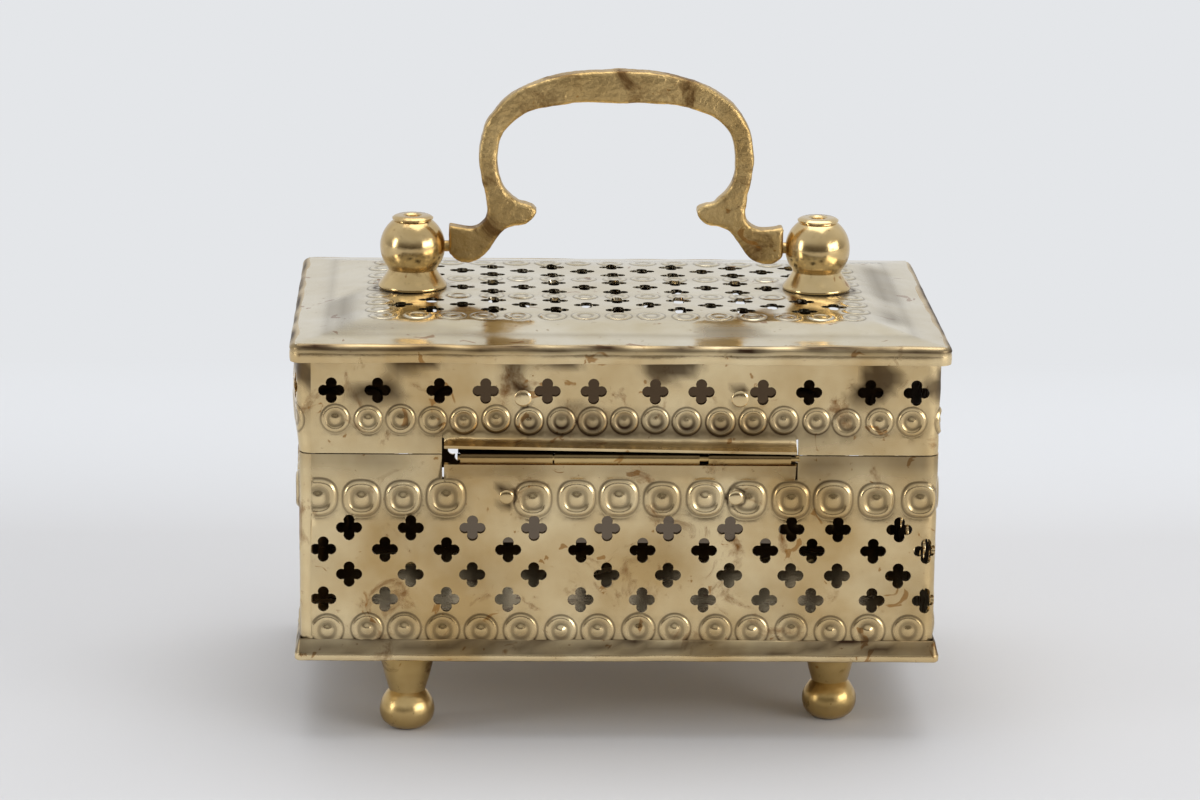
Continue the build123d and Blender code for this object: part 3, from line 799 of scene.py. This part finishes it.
# The right arm is a mirrored one, with a foot that came out of the mould a little wider.
wide_below = 9
other_half = [
    Vector((-point.x * (1.0 + 0.012 * (point.y < wide_below)), point.y))
    for point in reversed(half_line[1:-1])
]
curve = bpy.data.curves.new("handle_outline", "CURVE")
curve.dimensions = "2D"
curve.fill_mode = "BOTH"
curve.extrude = (handle_thick / 2 - edge_round) * mm
curve.bevel_depth = edge_round * mm
curve.bevel_resolution = 3
curve.offset = -edge_round * mm
spline = curve.splines.new("POLY")
spline.points.add(len(half_line + other_half) - 1)
for point, place in zip(spline.points, half_line + other_half):
    reach = min(1, handle_half / max(abs(place.x), 0.01))
    point.co = (place.x * reach * mm, place.y * mm, 0, 1)
spline.use_cyclic_u = True
curve_object = bpy.data.objects.new("handle_outline", curve)
bpy.context.scene.collection.objects.link(curve_object)
curve_graph = bpy.context.evaluated_depsgraph_get()
handle_mesh = bpy.data.meshes.new_from_object(curve_object.evaluated_get(curve_graph))
bpy.data.objects.remove(curve_object)
upright = Matrix.Translation((0, 0, pivot_level * mm)) @ Matrix.Rotation(math.pi / 2, 4, "X")
handle_mesh.transform(upright)
handle = bpy.data.objects.new("handle_cast", handle_mesh)
bpy.context.scene.collection.objects.link(handle)
remesh = handle.modifiers.new("even", "REMESH")
remesh.mode = "VOXEL"
remesh.voxel_size = 0.42 * mm
cast_graph = bpy.context.evaluated_depsgraph_get()
cast = bpy.data.meshes.new_from_object(handle.evaluated_get(cast_graph))
handle.modifiers.clear()
handle.data = cast
for vertex in cast.vertices:
    point = vertex.co / mm
    lump = 0.22 * noise.noise(point * 0.28) + 0.07 * noise.noise(point * 1.1)
    vertex.co += vertex.normal * min(lump - 0.1, 0.0) * mm
cast.shade_smooth()
finish_piece(handle, cast_brass, "handle", "brass_cast", "handle")
pin_line = [Vector((1.0, 0)), Vector((1.0, 4.0))]
for side, name in ((-1, "handle_pin_left"), (1, "handle_pin_right")):
    pin_start = Vector((side * (handle_half - 0.6), 0, pivot_level))
    pin = turned(name, pin_line, pin_start, along=Vector((side, 0, 0)), around=24)
    finish_piece(pin, cast_brass, "handle", "brass_cast")

# Rivets: brass wire through the wall and the hinge leaf, with nearly flat heads outside and peened tails.
# A dark line of old polish is left round each head.
rivet_tail = [(0.9, 0.0), (1.25, 0.3), (1.25, 0.5), (0.9, 0.5)]
head_sink = 0.7
for node in [name for name in frame["nodes"] if name.startswith("rivet")]:
    low, high = (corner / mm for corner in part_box(node))
    middle = Vector(((low.x + high.x) / 2, high.y, (low.z + high.z) / 2))
    radius = (high.x - low.x) / 2
    head = high.y - low.y - head_sink
    profile = [Vector(point) for point in rivet_tail] + [Vector((0.9, head))]
    for angle in (0, 0.4, 0.8, 1.15, 1.45):
        profile.append(Vector((radius * math.cos(angle), head + 0.15 + 0.3 * math.sin(angle))))
    rivet = turned(node + "_turned", profile, middle, 0.04, Vector((0, -1, 0)), 28)
    finish_piece(rivet, wall_brass, "lid" if "lid" in node else "base", "brass_fittings", node)

# Catch: a sheet brass hook that turns on a shouldered rivet in the lid and drops over a stud on the base.
# It is on the front, which the photograph doesn't show.
for node in ("catch_hook", "catch_rivet", "catch_stud"):
    keep_shape(node, turned_brass)

# Floor and backdrop: one sheet painted a matt pale grey that curves up behind the box. It is greyer under the
# box, where it takes the shadow, and far back it shows as one even tone, also in the brass.
floor_reach = 2500
curve_start = 700
curve_radius = 900
curve_steps = 16
floor_line = [(-1600, 0), (-400, 0), (200, 0)]
for i in range(curve_steps + 1):
    angle = i / curve_steps * math.pi / 2
    floor_line.append((curve_start + curve_radius * math.sin(angle), curve_radius * (1 - math.cos(angle))))
floor_line.append((curve_start + curve_radius, 3000))
floor_points = [(x, y, z) for y, z in floor_line for x in (-floor_reach, floor_reach)]
floor_faces = [(2 * i, 2 * i + 1, 2 * i + 3, 2 * i + 2) for i in range(len(floor_line) - 1)]
backdrop = mesh_object("backdrop", floor_points, floor_faces)
pale = bpy.data.materials.new("pale_paint")
pale.use_nodes = True
pale_tree = pale.node_tree
pale_place = add_node(pale_tree, "TexCoord", {})["Object"]
pale_depth = add_node(pale_tree, "SeparateXYZ", {"Vector": pale_place})["Y"]
far_span = {"Value": pale_depth, "From Min": 0.1, "From Max": 0.26}
far_share = add_node(pale_tree, "MapRange", far_span)["Result"]
pale_tones = {0: far_share, 6: colour("#CFCECE"), 7: colour("#E4E6E9")}
pale_tone = add_node(pale_tree, "Mix", pale_tones, data_type="RGBA")[2]
pale_shader = pale_tree.nodes["Principled BSDF"]
pale_shader.inputs["Roughness"].default_value = 0.65
pale_tree.links.new(pale_tone, pale_shader.inputs["Base Color"])
rays = add_node(pale_tree, "LightPath", {})
looks = {0: rays["Is Camera Ray"], 1: rays["Is Glossy Ray"]}
seen = add_node(pale_tree, "Math", looks, operation="MAXIMUM")[0]
seen_far = add_node(pale_tree, "Math", {0: seen, 1: far_share}, operation="MULTIPLY")[0]
wall_glow = add_node(pale_tree, "Emission", {"Color": colour("#E4E6E9")})[0]
pale_mix = add_node(pale_tree, "MixShader", {0: seen_far, 1: pale_shader.outputs[0], 2: wall_glow})[0]
pale_tree.links.new(pale_mix, pale_tree.nodes["Material Output"].inputs["Surface"])
backdrop.data.materials.append(pale)

# Light: a pale room that is darker behind the camera, with a narrow window to the left, a broad one to the
# right and a soft light overhead. The windows are the bright patches in the posts and the feet.
world = bpy.data.worlds.new("room")
bpy.context.scene.world = world
world.use_nodes = True
room_tree = world.node_tree
direction = add_node(room_tree, "TexCoord", {})["Generated"]
way = add_node(room_tree, "SeparateXYZ", {"Vector": direction})
near_stops = ((0.0, "#3F3830"), (0.2, "#6E6860"), (0.5, "#D5D8DD"))
near_side = add_node(room_tree, "ValToRGB", {"Fac": way["Z"]}, near_stops)["Color"]
far_side = add_node(room_tree, "ValToRGB", {"Fac": way["Z"]}, ((0.0, "#C4C4C6"), (0.4, "#F0F3F7")))["Color"]
facing = add_node(room_tree, "MapRange", {"Value": way["Y"], "From Min": -0.4, "From Max": 0.4})["Result"]
room = add_node(room_tree, "Mix", {0: facing, 6: near_side, 7: far_side}, data_type="RGBA")[2]
room_tree.links.new(room, room_tree.nodes["Background"].inputs["Color"])
room_tree.nodes["Background"].inputs["Strength"].default_value = 1.0
for name, place, width, height, power in (
    ("window_left", (-1.1, -0.45, 0.32), 0.22, 0.5, 2.3),
    ("window_right", (1.0, -0.65, 0.32), 0.85, 0.45, 6.6),
    ("overhead", (0.1, 0.2, 1.3), 1.2, 1.2, 9.5),
):
    light_data = bpy.data.lights.new(name, "AREA")
    light_data.shape = "RECTANGLE"
    light_data.size = width
    light_data.size_y = height
    light_data.energy = power
    light = bpy.data.objects.new(name, light_data)
    light.location = place
    light.rotation_euler = (Vector((0, 0, 0.05)) - Vector(place)).to_track_quat("-Z", "Y").to_euler()
    bpy.context.scene.collection.objects.link(light)
